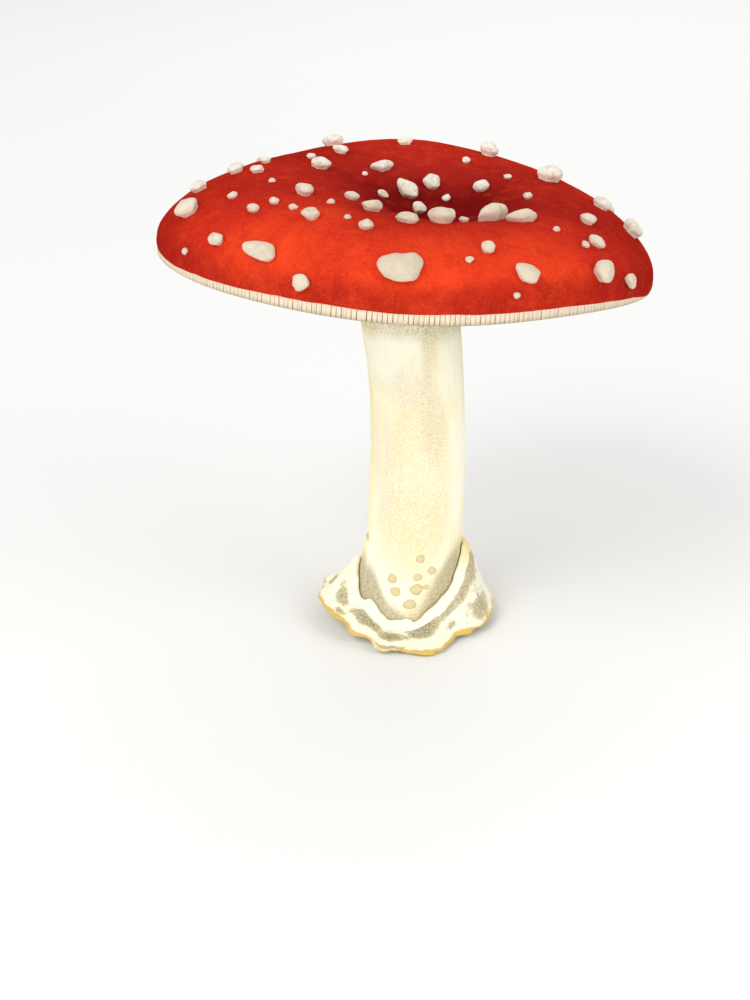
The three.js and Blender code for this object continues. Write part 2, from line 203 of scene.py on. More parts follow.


# Soft tints, painted highlights and painted shade of the stem's front, as place, width and height in
# millimetres, strength and colour
# Pale patches are painted highlights, grey ones painted shade, mauve ones a mauve tint with painted shade,
# tan ones the stem's own colour
PALE_PAINTED_HIGHLIGHT = shade(255, 253, 238)
TAN = shade(226, 205, 156)
GREY_PAINTED_SHADE = shade(204, 190, 158)
MAUVE_TINT_AND_SHADE = shade(228, 214, 198)
STEM_TINTS_AND_PAINTED_LIGHT = (
    (-4.0, 86.0, 9.0, 10.0, 0.8, PALE_PAINTED_HIGHLIGHT),
    (15.0, 84.0, 7.0, 16.0, 1.0, PALE_PAINTED_HIGHLIGHT),
    (17.0, 55.0, 5.0, 28.0, 0.9, PALE_PAINTED_HIGHLIGHT),
    (3.0, 50.0, 12.0, 34.0, 0.75, TAN),
    (2.0, 32.0, 11.0, 14.0, 0.5, TAN),
    (6.5, 90.0, 2.4, 15.0, 0.5, GREY_PAINTED_SHADE),
    (8.0, 66.0, 4.5, 13.0, 0.4, GREY_PAINTED_SHADE),
    (0.0, 77.0, 11.0, 5.0, 0.35, MAUVE_TINT_AND_SHADE),
    (-7.0, 55.0, 4.0, 18.0, 0.5, MAUVE_TINT_AND_SHADE),
)

# Painted shade on the stem just above the cup: its strength and its height in millimetres, by bearing and
# spread
PAINTED_SHADE_BASE = 0.4
PAINTED_SHADE_HEIGHT = 9.0
PAINTED_SHADE_SIDES = ((0.9, -145.0, 30.0), (0.6, -40.0, 26.0), (0.5, -108.0, 16.0))
PAINTED_SHADE_REACHES = ((11.0, -148.0, 26.0), (7.0, -42.0, 26.0))

# Rim of the volva in millimetres, with its humps as lift, bearing and spread in degrees
RIM_HEIGHT = 15.0
RIM_HUMPS = (
    (9.5, 0.0, 32.0), (-9.7, -90.0, 48.0), (1.0, -64.0, 12.0), (-1.6, -113.0, 18.0),
    (-4.2, -150.0, 14.0), (2.5, 176.0, 14.0),
)
RIM_RADIUS = 17.2
RIM_SPREADS = ((-1.1, 0.0, 35.0), (1.1, -90.0, 60.0))

# Cup and its rolled lip, in millimetres or as shares of the flap
CUP_FOOT_RADIUS = 18.2
CUP_FOOT_HEIGHT = 1.8
CUP_CLEARANCE = 0.5
LIP_WIDTH = 2.6
LIP_ROLL = 0.65
LIP_LIFT = 0.1
LIP_TURN = math.radians(150.0)
LIP_FALL = (0.62, 0.78)
LIP_SLIMMING = ((0.5, 0.0, 25.0),)
LIP_PAINT = (0.4, 0.56)
LIP_LANDING = 0.9
END_HEIGHT_SHARE = 0.35
END_WIDTH_SHARE = 0.55
OVERLAP_START = 0.8
CUP_LOWEST_RIM = 3.2
CUP_WALL_SHARE = 0.45
CUP_ROLL_SHARE = 0.45
CUP_SHEET = 0.75
CUP_CELLS = (150, 16)
CUP_WRINKLE = (0.14, 2.2)

# Skirt and its hem, in millimetres
SKIRT_TOP_GAP = 0.95
HEM_RADIUS = 26.2
HEM_STRETCH = 0.5
HEM_SAG = 0.9
HEM_START = 0.1
SKIRT_WRINKLE = (0.16, 2.4)
SKIRT_LOWEST = 0.15
HEM_SPREADS = (
    (1.5, -72.0, 42.0), (0.7, -160.0, 12.0), (-1.6, -139.0, 7.0), (-2.2, -117.0, 6.0), (2.5, -104.0, 8.0),
    (2.7, -77.0, 10.0), (-3.1, -48.0, 14.0), (1.8, 38.0, 10.0), (-1.4, 61.0, 8.0), (1.8, 88.0, 11.0),
    (-1.5, 113.0, 8.0), (1.5, 136.0, 10.0),
)

# Where the ochre of the hem is broader, as share of the way from rim to hem, bearing and spread
OCHRE_HEMS = (
    (0.14, -146.0, 17.0), (0.12, -50.0, 9.0), (0.06, -80.0, 16.0), (0.1, 70.0, 12.0), (0.08, 130.0, 14.0),
)

# Flaps of the cup: first and last bearing, how far it overlaps the other, and the share that each end tapers
RIGHT_FLAP = (-91.0, 152.0, 1.0, 0.08)
LEFT_FLAP = (128.0, 282.0, 0.0, 0.1)

# Torn edges: depth in millimetres or as a share, size of the waves in degrees, and seed
RIM_RAGS = ((0.9, 16.0, 3.0), (0.5, 6.0, 6.0))
LIP_RAGS = ((0.6, 9.0, 8.0),)
WALL_RAGS = ((0.25, 9.0, 5.0),)
HEM_RAGS = ((0.7, 9.0, 1.0), (0.45, 3.5, 4.0))
HEM_PLEATS = ((0.7, 10.0, 7.0),)

# Stains of the skirt and painted shadow under the cup's lip: strength, bearing and its spread, way from rim
# to hem and its spread
STAINS_AND_SHADOWS = (
    (1.5, -75.0, 12.0, 0.2, 0.2), (1.0, -100.0, 12.0, 0.36, 0.16), (1.2, -124.0, 15.0, 0.32, 0.2),
    (0.7, -160.0, 9.0, 0.36, 0.22), (0.5, -150.0, 7.0, 0.66, 0.12), (0.7, -22.0, 14.0, 0.66, 0.22),
    (0.8, -50.0, 12.0, 0.2, 0.13), (0.75, -32.0, 12.0, 0.18, 0.14), (0.7, -14.0, 14.0, 0.16, 0.18),
    (0.5, -100.0, 11.0, 0.84, 0.1), (0.5, -52.0, 6.0, 0.6, 0.12),
    (0.8, 30.0, 14.0, 0.5, 0.2), (0.7, 75.0, 18.0, 0.35, 0.2), (0.6, 108.0, 12.0, 0.7, 0.15),
    (0.8, 140.0, 14.0, 0.4, 0.2), (0.6, 172.0, 10.0, 0.6, 0.16),
)

# Camera and studio
AIM = Vector((-9.0, 0.0, 38.0)) * MM
CAMERA_DISTANCE = 650.0 * MM
CAMERA_ELEVATION = math.radians(23.0)
CAMERA_LENS = 77.5
CAMERA_SENSOR = 36.0
CAMERA_NEAREST = 0.01
FLOOR_SIZE = 8.0
LIGHT_AIM = Vector((0.0, 0.0, 80.0)) * MM
LIGHT_GLOSS = 0.4
SKY_STRENGTH = 0.7

# Lights: name, place and size in metres, power in watts
LIGHTS = (
    ("key", (-0.75, -0.85, 1.15), 0.9, 8.0),
    ("low", (-0.3, -1.25, 0.22), 0.7, 4.5),
    ("fill", (0.95, -0.7, 0.7), 1.0, 4.0),
    ("back", (0.2, 1.1, 0.9), 0.9, 3.0),
)

# Shares that flatten a vector onto the level
LEVEL = (1.0, 1.0, 0.0)

# Painted highlights and painted shade on the skin: place from the cap's middle, size in millimetres,
# strength
SKIN_PAINTED_HIGHLIGHTS = (
    (-38.0, -60.0, 28.0, 0.7), (6.0, -70.0, 32.0, 0.6), (38.0, -60.0, 24.0, 0.55),
    (-20.0, -46.0, 10.0, 0.45), (-14.0, -72.0, 20.0, 0.5),
)
SKIN_PAINTED_SHADE = (
    (60.0, -16.0, 36.0, 0.55), (-66.0, -10.0, 28.0, 0.55), (-34.0, 18.0, 36.0, 0.55),
    (0.0, -40.0, 30.0, 0.4), (-42.0, -22.0, 18.0, 0.3), (-38.0, 38.0, 34.0, 0.5),
    (10.0, 46.0, 44.0, 0.3), (36.0, 14.0, 26.0, 0.35),
)

# Light that enters pale flesh: its share, and how deep its red, green and blue reach, in metres
GLOW_SHARE = 0.08
GLOW_REACHES = (0.002, 0.0015, 0.001)

# Merging of loose triangles
MERGE_DISTANCE = 0.01 * MM
QUAD_ANGLE = math.radians(80.0)


# Modelling helpers


def only(piece):
    """Selects one object alone and makes it active."""
    bpy.ops.object.select_all(action="DESELECT")
    piece.select_set(True)
    bpy.context.view_layer.objects.active = piece


def merged_copy(node, name):
    """Copy of a CAD node to work on, its loose triangles merged and joined into quads."""
    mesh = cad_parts[node].data.copy()
    mesh.name = name
    mesh.materials.clear()
    piece = bpy.data.objects.new(name, mesh)
    bpy.context.scene.collection.objects.link(piece)
    only(piece)
    bpy.ops.object.mode_set(mode="EDIT")
    bpy.ops.mesh.select_all(action="SELECT")
    bpy.ops.mesh.customdata_custom_splitnormals_clear()
    bpy.ops.mesh.remove_doubles(threshold=MERGE_DISTANCE)
    bpy.ops.mesh.tris_convert_to_quads(face_threshold=QUAD_ANGLE, shape_threshold=QUAD_ANGLE)
    bpy.ops.object.mode_set(mode="OBJECT")
    return piece


def smooth_up(piece, levels):
    """Applies a subdivision surface and smooth shading."""
    modifier = piece.modifiers.new("smooth", "SUBSURF")
    modifier.levels = levels
    modifier.render_levels = levels
    only(piece)
    bpy.ops.object.modifier_apply(modifier=modifier.name)
    bpy.ops.object.shade_smooth()


def sculpt(piece, rule):
    """Moves every vertex by what a rule gives for its place and its normal."""
    vertices = piece.data.vertices
    moves = [rule(vertex.co, vertex.normal) for vertex in vertices]
    for vertex, move in zip(vertices, moves):
        vertex.co += move
    piece.data.update()


def note(piece, name, rule):
    """Stores a number on every vertex for the material to read."""
    attribute = piece.data.attributes.new(name, "FLOAT", "POINT")
    attribute.data.foreach_set("value", [rule(vertex.co) for vertex in piece.data.vertices])


def settle(piece, slot, material, *nodes):
    """Gives a finished piece its material and its body, and hides the CAD nodes it stands for; the slot is
    not used.
    """
    piece.data.materials.append(material)
    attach(piece, "root")
    if nodes:
        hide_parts(*nodes)


def lumps(place, size, seed=0.0):
    """Smooth noise from -1 to 1 whose lumps are about the given size."""
    return noise.noise(place / size + Vector((seed, 2.0 * seed, 3.0 * seed)))


def share(value, low, high):
    """0 below low, 1 above high and a smooth rise between them."""
    way = min(max((value - low) / (high - low), 0.0), 1.0)
    return way * way * (3.0 - 2.0 * way)


def hill(bearing, centre, spread):
    """Smooth hump of height 1, with all angles in degrees."""
    away = (bearing - centre + 180.0) % 360.0 - 180.0
    return math.exp(-((away / spread) ** 2))


def humps(bearing, parts):
    """Sum of hills, each given as its lift, its bearing and its spread."""
    return sum(lift * hill(bearing, centre, spread) for lift, centre, spread in parts)


def bearing_of(place):
    """Bearing of a place round the upright axis, in degrees from +X."""
    return math.degrees(math.atan2(place.y, place.x))


# Materials


class Paint:
    """A material's node tree, with short calls for the nodes that it is made of."""

    def __init__(self, name, roughness):
        self.material = bpy.data.materials.new(name)
        self.material.use_nodes = True
        self.tree = self.material.node_tree
        self.shader = self.tree.nodes["Principled BSDF"]
        self.shader.inputs["Roughness"].default_value = roughness
        self.place = self.add("ShaderNodeTexCoord").outputs["Object"]

    def add(self, kind, **settings):
        """New node of a kind, with its settings."""
        node = self.tree.nodes.new(kind)
        for key, value in settings.items():
            setattr(node, key, value)
        return node

    def feed(self, socket, value):
        """Links a socket to another one, or sets its plain value."""
        if isinstance(value, bpy.types.NodeSocket):
            self.tree.links.new(value, socket)
        else:
            socket.default_value = value

    def math(self, operation, first, second=0.0):
        """Result of an operation on two numbers."""
        node = self.add("ShaderNodeMath", operation=operation)
        self.feed(node.inputs[0], first)
        self.feed(node.inputs[1], second)
        return node.outputs[0]

    def vector(self, operation, first, second=None, scale=None):
        """Result of an operation on vectors."""
        node = self.add("ShaderNodeVectorMath", operation=operation)
        self.feed(node.inputs[0], first)
        if second is not None:
            self.feed(node.inputs[1], second)
        if scale is not None:
            self.feed(node.inputs["Scale"], scale)
        return node.outputs["Value" if operation == "LENGTH" else "Vector"]

    def away(self, point, keep=(1.0, 1.0, 1.0)):
        """Vector from a point to the surface, with each axis scaled by a share to keep."""
        return self.vector("MULTIPLY", self.vector("SUBTRACT", self.place, tuple(point)), keep)

    def axis(self, name):
        """Place along one axis."""
        node = self.add("ShaderNodeSeparateXYZ")
        self.feed(node.inputs[0], self.place)
        return node.outputs[name]

    def noise(self, size, detail=3.0, place=None, roughness=0.55):
        """Noise from 0 to 1 with features of about the given size."""
        node = self.add("ShaderNodeTexNoise")
        self.feed(node.inputs["Vector"], self.place if place is None else place)
        node.inputs["Scale"].default_value = 1.0 / size
        node.inputs["Detail"].default_value = detail
        node.inputs["Roughness"].default_value = roughness
        return node.outputs["Fac"]

    def span(self, value, low, high, first=0.0, last=1.0):
        """Smooth step of a value between two limits."""
        node = self.add("ShaderNodeMapRange", interpolation_type="SMOOTHSTEP")
        self.feed(node.inputs["Value"], value)
        node.inputs["From Min"].default_value = low
        node.inputs["From Max"].default_value = high
        node.inputs["To Min"].default_value = first
        node.inputs["To Max"].default_value = last
        return node.outputs["Result"]

    def ramp(self, factor, *stops):
        """Colour that runs through stops of position and colour."""
        node = self.add("ShaderNodeValToRGB")
        self.feed(node.inputs["Fac"], factor)
        elements = node.color_ramp.elements
        while len(elements) < len(stops):
            elements.new(1.0)
        for element, (position, colour) in zip(elements, stops):
            element.position = position
            element.color = colour
        return node.outputs["Color"]

    def mix(self, factor, first, second):
        """Blend of two colours."""
        node = self.add("ShaderNodeMix", data_type="RGBA")
        self.feed(node.inputs["Factor"], factor)
        self.feed(node.inputs["A"], first)
        self.feed(node.inputs["B"], second)
        return node.outputs["Result"]

    def times(self, first, second):
        """Product of two numbers."""
        return self.math("MULTIPLY", first, second)

    def uneven(self, value, pattern, amount):
        """A value that a pattern from 0 to 1 raises or lowers by up to half the amount."""
        return self.math("ADD", value, self.times(self.math("SUBTRACT", pattern, 0.5), amount))

    def translucent(self):
        """Lets a little light into pale flesh."""
        self.shader.inputs["Subsurface Weight"].default_value = GLOW_SHARE
        self.shader.inputs["Subsurface Radius"].default_value = GLOW_REACHES

    def attribute(self, name):
        """Number that was noted on the piece."""
        return self.add("ShaderNodeAttribute", attribute_name=name).outputs["Fac"]

    def bump(self, height, depth, strength):
        """Fine relief of the surface."""
        node = self.add("ShaderNodeBump")
        node.inputs["Strength"].default_value = strength
        node.inputs["Distance"].default_value = depth
        self.feed(node.inputs["Height"], height)
        self.feed(self.shader.inputs["Normal"], node.outputs["Normal"])

    def colour(self, value):
        """Sets the colour and gives the finished material."""
        self.feed(self.shader.inputs["Base Color"], value)
        return self.material


def skin_areas(paint, base, areas, colour, cloud):
    """Base colour of the skin with soft, uneven areas of another colour on it, used for its painted
    highlights and painted shade.
    """
    for x, y, size, strength in areas:
        middle = CAP_CENTRE + Vector((x, y, 0.0)) * MM
        near = paint.uneven(paint.vector("LENGTH", paint.away(middle, LEVEL)), cloud, 20 * MM)
        base = paint.mix(paint.span(near, size * MM, 0.0, 0.0, strength), base, colour)
    return base


def skin_paint():
    """Scarlet skin: crimson in the dish, partly its own deeper red and partly painted shade, painted
    highlight on the orange-red front slope, painted shade on the sides, back and darker margin, pale
    beneath.
    """
    paint = Paint("red_skin", 0.55)
    from_dish = paint.vector("LENGTH", paint.away(DISH_CENTRE, DISH_SHAPE))
    from_axis_vector = paint.away(CAP_CENTRE, LEVEL)
    from_axis = paint.vector("LENGTH", from_axis_vector)
    cloud = paint.noise(15 * MM, 3.0)
    reach = paint.uneven(from_dish, cloud, 16 * MM)
    # Crimson in the dish: partly the skin's own deeper red, partly painted shade of the dish
    base = paint.ramp(
        paint.math("DIVIDE", reach, 80 * MM),
        (0.0, shade(100, 13, 13)),
        (0.14, shade(114, 18, 16)),
        (0.28, shade(162, 36, 28)),
        (0.45, shade(186, 43, 30)),
        (0.66, shade(200, 47, 29)),
        (1.0, shade(196, 44, 28)),
    )
    # Painted highlight on the front slope, where the light falls brightest
    base = skin_areas(paint, base, SKIN_PAINTED_HIGHLIGHTS, shade(240, 74, 34), cloud)
    # Painted shade on the sides, at the back and on the upper front slope
    base = skin_areas(paint, base, SKIN_PAINTED_SHADE, shade(134, 20, 17), cloud)
    # Darker red all round the margin: painted shade where the skin rolls down towards the gills
    margin = paint.span(paint.uneven(from_axis, cloud, 5 * MM), 68.5 * MM, 73.0 * MM)
    base = paint.mix(paint.times(margin, 0.8), base, shade(146, 25, 19))
    ray = paint.vector("SCALE", paint.vector("NORMALIZE", from_axis_vector), scale=STREAKS_ROUND)
    along = paint.vector("SCALE", from_axis_vector, scale=STREAKS_OUTWARD)
    streak = paint.noise(1.0, 4.0, paint.vector("ADD", ray, along), 0.6)
    base = paint.mix(paint.span(streak, 0.45, 0.7, 0.0, 0.16), base, shade(150, 22, 18))
    mottle = paint.noise(4.5 * MM, 4.0, roughness=0.65)
    base = paint.mix(paint.span(mottle, 0.5, 0.68, 0.0, 0.22), base, shade(142, 20, 17))
    base = paint.mix(paint.span(mottle, 0.5, 0.34, 0.0, 0.12), base, shade(238, 84, 46))
    grain = paint.noise(0.8 * MM, 4.0, roughness=0.65)
    flecks = paint.times(paint.span(grain, 0.52, 0.72, 0.0, 0.2), paint.span(from_dish, 16 * MM, 44 * MM))
    base = paint.mix(flecks, base, shade(244, 100, 58))
    base = paint.mix(paint.span(grain, 0.46, 0.28, 0.0, 0.35), base, shade(120, 14, 14))
    torn = paint.uneven(paint.attribute("flesh"), grain, 0.5)
    base = paint.mix(paint.span(torn, 0.4, 0.6), base, shade(226, 212, 184))
    paint.bump(paint.math("ADD", grain, paint.times(streak, 0.6)), 0.12 * MM, 0.5)
    paint.shader.inputs["Specular IOR Level"].default_value = 0.0
    return paint.colour(base)


def wart_paint():
    """Cream warts, whiter behind as painted light, with grey-beige hollows and a pink tinge where they meet
    the skin, partly red from the skin and partly painted shadow and reflection of the red skin.
    """
    paint = Paint("wart_cream", 0.85)
    hollows = paint.noise(2.0 * MM, 4.0)
    grain = paint.noise(0.6 * MM, 4.0, roughness=0.65)
    crust = paint.uneven(paint.attribute("crust"), hollows, 0.4)
    # The darker pink at the foot is partly red from the skin and partly painted shadow and reflection of the
    # red skin
    base = paint.ramp(
        crust,
        (0.0, shade(196, 146, 128)),
        (0.16, shade(216, 195, 176)),
        (0.5, shade(203, 186, 164)),
        (1.0, shade(214, 200, 179)),
    )
    # Painted light: warts towards the back are made whiter, as if lit more than the front ones
    crown = paint.span(paint.axis("Y"), -45 * MM, 35 * MM)
    base = paint.mix(paint.times(crown, 0.8), base, shade(248, 243, 230))
    base = paint.mix(paint.span(hollows, 0.5, 0.64, 0.0, 0.6), base, shade(194, 183, 158))
    base = paint.mix(paint.span(grain, 0.5, 0.68, 0.0, 0.3), base, shade(184, 168, 142))
    paint.bump(paint.math("ADD", grain, hollows), 0.22 * MM, 0.6)
    paint.shader.inputs["Specular IOR Level"].default_value = 0.2
    return paint.colour(base)


def gill_paint():
    """Cream gills, greyer towards their lower edges as painted shade, with dark lines painted as the shaded
    gaps of finer gills between the thick ones.
    """
    paint = Paint("gill_cream", 0.8)
    ray = paint.vector("NORMALIZE", paint.away(CAP_CENTRE, LEVEL))
    lines = paint.noise(GILL_GAP_SHADE_WIDTH, 3.0, ray, 0.6)
    edge = paint.uneven(paint.attribute("edge"), lines, 0.5)
    # Greyer towards the lower edges: painted shade under the cap
    base = paint.ramp(
        edge,
        (0.0, shade(214, 166, 144)),
        (0.18, shade(224, 206, 182)),
        (0.6, shade(220, 203, 178)),
        (1.0, shade(174, 161, 133)),
    )
    # Dark lines painted as the shade in the gaps between finer gills
    base = paint.mix(paint.span(lines, 0.5, 0.66, 0.0, 0.3), base, shade(176, 160, 134))
    paint.shader.inputs["Specular IOR Level"].default_value = 0.2
    return paint.colour(base)


def stem_paint():
    """Fibrous cream stem with grey painted shade under the cap, painted highlights and painted shade on its
    front, a tan middle and olive painted shade above the cup.
    """
    paint = Paint("stem_cream", 0.8)
    height = paint.axis("Z")
    front = paint.span(paint.axis("Y"), 6 * MM, -4 * MM)
    drawn_out = paint.vector("MULTIPLY", paint.place, (1.0, 1.0, 0.07))
    fibres = paint.noise(1.3 * MM, 4.0, drawn_out, 0.65)
    clouds = paint.noise(16 * MM, 3.0, paint.vector("MULTIPLY", paint.place, (1.0, 1.0, 0.5)))
    stipple = paint.noise(0.55 * MM, 5.0, roughness=0.7)
    grain = paint.span(stipple, 0.36, 0.64, 0.2, 1.0)
    base = paint.mix(paint.span(clouds, 0.38, 0.66), shade(255, 250, 222), shade(251, 240, 200))
    base = paint.mix(paint.span(fibres, 0.48, 0.74, 0.0, 0.32), base, shade(228, 209, 160))
    base = paint.mix(paint.span(paint.attribute("side"), 0.88, 1.0, 0.0, 0.45), base, shade(253, 238, 168))
    # Tan tints, painted highlights and painted shade on the stem's front
    for x, z, wide, tall, strength, colour in STEM_TINTS_AND_PAINTED_LIGHT:
        keep = (1.0 / (wide * MM), 0.0, 1.0 / (tall * MM))
        aside = paint.away(Vector((x, 0.0, z)) * MM, keep)
        near = paint.uneven(paint.vector("LENGTH", aside), clouds, 1.3)
        mask = paint.times(paint.times(paint.span(near, 1.15, 0.55, 0.0, strength), front), grain)
        base = paint.mix(mask, base, colour)
    # Painted shade on the top of the stem, under the cap
    under_cap_shade = paint.span(paint.uneven(height, clouds, 9 * MM), 89 * MM, 96 * MM)
    base = paint.mix(paint.times(paint.times(under_cap_shade, grain), 0.85), base, shade(180, 167, 130))
    # Olive painted shade on the stem just above the cup's rim
    painted_shade = paint.span(paint.uneven(paint.attribute("painted_shade"), clouds, 0.5), 0.2, 0.8, 0.0, 0.92)
    soft_grain = paint.span(stipple, 0.36, 0.64, 0.6, 1.0)
    base = paint.mix(paint.times(painted_shade, soft_grain), base, shade(166, 153, 118))
    paint.bump(paint.math("ADD", fibres, paint.times(stipple, 0.5)), 0.25 * MM, 0.5)
    paint.translucent()
    return paint.colour(base)


def scale_paint():
    """Tan scales, flat patches of old veil on the lower stem."""
    paint = Paint("tan_scale", 0.82)
    mottle = paint.noise(1.1 * MM, 4.0)
    base = paint.ramp(
        paint.math("ADD", paint.times(paint.attribute("crust"), 0.4), paint.times(mottle, 0.6)),
        (0.2, shade(186, 166, 116)),
        (0.45, shade(208, 190, 140)),
        (0.75, shade(222, 206, 158)),
    )
    paint.bump(mottle, 0.2 * MM, 0.6)
    return paint.colour(base)


def cup_paint():
    """Torn cup: white rolled lip, ochre at its highest tip, olive-grey painted shade below and inside it."""
    paint = Paint("cup_cream", 0.8)
    blotch = paint.noise(3.5 * MM, 4.0, roughness=0.6)
    stipple = paint.noise(0.8 * MM, 3.0)
    lip = paint.attribute("lip")
    cream = paint.mix(blotch, shade(255, 253, 236), shade(248, 241, 210))
    # Olive-grey painted shade on the cup's wall, below and inside the rolled lip
    painted_shade = paint.mix(stipple, shade(170, 157, 120), shade(206, 192, 154))
    base = paint.mix(paint.span(lip, 0.25, 0.75), painted_shade, cream)
    high = paint.span(paint.axis("Z"), 15 * MM, 24 * MM)
    right = paint.span(paint.axis("X"), 15 * MM, 19 * MM)
    tip = paint.times(paint.times(high, right), 0.7)
    base = paint.mix(tip, base, shade(240, 214, 132))
    paint.bump(paint.math("ADD", blotch, paint.times(stipple, 0.3)), 0.3 * MM, 0.5)
    paint.translucent()
    return paint.colour(base)


def skirt_paint():
    """Cream torn sheet with olive-grey stains, painted shadow under the cup's lip and an ochre line along
    its hem.
    """
    paint = Paint("skirt_cream", 0.8)
    blotch = paint.noise(4.0 * MM, 5.0, roughness=0.62)
    stipple = paint.noise(0.7 * MM, 3.0)
    base = paint.mix(paint.noise(3 * MM), shade(255, 252, 232), shade(247, 240, 208))
    # Olive-grey stains, and painted shadow where the skirt lies under the cup's lip
    stain_and_shadow_level = paint.uneven(paint.attribute("stain_and_shadow"), blotch, 1.0)
    stain_and_shadow = paint.times(paint.span(stain_and_shadow_level, 0.16, 0.42), paint.span(stipple, 0.32, 0.6, 0.6, 1.0))
    stain_and_shadow_colour = paint.mix(paint.span(stain_and_shadow_level, 0.4, 1.0), shade(182, 168, 126), shade(146, 133, 94))
    base = paint.mix(paint.times(stain_and_shadow, 0.94), base, stain_and_shadow_colour)
    way = paint.uneven(paint.attribute("along"), blotch, 0.24)
    way = paint.math("ADD", way, paint.attribute("ochre"))
    base = paint.mix(paint.span(way, 0.9, 1.0, 0.0, 0.95), base, shade(218, 180, 78))
    paint.bump(paint.math("ADD", blotch, paint.times(stipple, 0.3)), 0.4 * MM, 0.5)
    paint.translucent()
    return paint.colour(base)


def floor_paint():
    """Plain pale floor with a faint change of tone."""
    paint = Paint("pale_floor", 0.9)
    base = paint.ramp(paint.noise(900 * MM, 2.0), (0.3, shade(244, 244, 243)), (0.7, shade(247, 247, 246)))
    paint.shader.inputs["Specular IOR Level"].default_value = 0.1
    return paint.colour(base)


# Cap and warts


def make_cap():
    """Flesh and skin, slightly uneven, with a note of where the pale underside begins."""
    piece = merged_copy("cap", "cap_flesh")
    smooth_up(piece, 2)
    into_cap = CAP_FRAME.inverted()

    def uneven(place, normal):
        spot = into_cap @ place
        rim = share(math.hypot(spot.x, spot.y), FLESH_EDGE - MARGIN_ROLL_WIDTH, FLESH_EDGE)
        low = rim * share(margin_lift(spot) - spot.z, *MARGIN_ROLL_HEIGHTS)
        roll = Vector((0.0, 0.0, -low * humps(bearing_of(spot), MARGIN_ROLLS)))
        return roll + normal * sum(depth * lumps(place, size) for depth, size in SKIN_LUMPS)

    def beneath(place):
        spot = into_cap @ place
        radius = math.hypot(spot.x, spot.y)
        is_low = spot.z < flesh_height(radius) + margin_lift(spot) + FLESH_BAND
        return 1.0 - share(radius, SKIN_EDGE, SKIN_EDGE + FLESH_FADE) if is_low else 0.0

    note(piece, "flesh", beneath)
    sculpt(piece, uneven)
    settle(piece, "skin", skin_paint(), "cap")
    return piece


def press_down(piece, inward, depth):
    """Pushes the faces that look the given way further along it."""
    only(piece)
    for face in piece.data.polygons:
        face.select = face.normal.dot(inward) > WART_FOOT_FACING
    bpy.context.tool_settings.mesh_select_mode = (False, False, True)
    bpy.ops.object.mode_set(mode="EDIT")
    bpy.ops.transform.translate(value=inward * depth)
    bpy.ops.mesh.select_all(action="SELECT")
    bpy.ops.object.mode_set(mode="OBJECT")


def swell(piece, middle, amount):
    """Enlarges a piece about a point."""
    only(piece)
    bpy.ops.object.mode_set(mode="EDIT")
    bpy.ops.mesh.select_all(action="SELECT")
    bpy.ops.transform.resize(value=(amount, amount, amount), center_override=middle)
    bpy.ops.object.mode_set(mode="OBJECT")


def crust_of(piece, carrier, tall):
    """Notes how far each point stands out of what carries the piece, as a share of a height."""

    def lift(place):
        _, foot, normal, _ = carrier.closest_point_on_mesh(place)
        return max((place - foot).dot(normal) / tall, 0.0)

    note(piece, "crust", lift)


def chip(piece, middle, outward, dice):
    """Flattens a lump with soft facets, as on a crumbly pebble."""
    vertices = piece.data.vertices
    for _ in range(WART_FACETS):
        way = Vector((dice.gauss(0.0, 1.0), dice.gauss(0.0, 1.0), dice.gauss(0.0, 1.0))).normalized()
        way = (way + outward * CHIP_OUTWARD).normalized()
        reach = max((vertex.co - middle).dot(way) for vertex in vertices)
        limit = reach * dice.uniform(*CHIP_REACH)
        for vertex in vertices:
            over = (vertex.co - middle).dot(way) - limit
            if over > 0:
                vertex.co -= way * over * CHIP_DEPTH
    piece.data.update()


def make_wart(node, carrier, material):
    """Chipped, flat-topped wart with an uneven outline and its foot pressed into the skin."""
    piece = merged_copy(node, f"{node}_lump")
    low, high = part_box(node)
    middle = (low + high) / 2
    _, foot, outward, _ = carrier.closest_point_on_mesh(middle)
    press_down(piece, -outward, WART_FOOT)
    swell(piece, middle, WART_SWELL)
    smooth_up(piece, 3)
    dice = random.Random(node)
    seed = dice.uniform(0.0, WART_SEEDS)
    tall = max((vertex.co - foot).dot(outward) for vertex in piece.data.vertices)
    width = (high - low).length
    point = WART_POINTS.get(node, Vector((0.0, 0.0, 0.0)))
    flatness = WART_FLATNESS * WART_LIFTS.get(node, 1.0)

    def flake(place, _):
        """Steepens the sides, flattens the top, pinches the foot and makes the outline uneven."""
        height = (place - foot).dot(outward)
        aside = place - foot - outward * height
        level = min(max(height / tall, 0.0), 1.0)
        lift = tall * (flatness * level ** WART_STEEPNESS - level)
        bulge = WART_PINCH * (math.sin(math.pi * level) - WART_WAIST)
        bulge += WART_UNEVEN * lumps(aside.normalized(), WART_LOBE, seed)
        ahead = max(aside.dot(point) / width, 0.0)
        across = aside - point * aside.dot(point)
        pointed = point * POINT_STRETCH * ahead * width - across * POINT_NARROWING * ahead
        return outward * lift + aside * bulge + pointed

    sculpt(piece, flake)
    chip(piece, foot, outward, dice)

    def crumbs(place, normal):
        return normal * width * sum(depth * lumps(place, size * width, seed) for depth, size in WART_CRUMBS)

    sculpt(piece, crumbs)
    crust_of(piece, carrier, max(CRUST_SHARE * width, THINNEST_CRUST))
    settle(piece, "wart", material, node)


# Gills


def flesh_height(radius):
    """Height of the flesh's lower face in the cap."""
    way = min(max((radius - FLESH_SEAT_RADIUS) / (FLESH_EDGE - FLESH_SEAT_RADIUS), 0.0), 1.0)
    return FLESH_SEAT - (FLESH_SEAT + FLESH_EDGE_DROP) * way ** FLESH_FALL


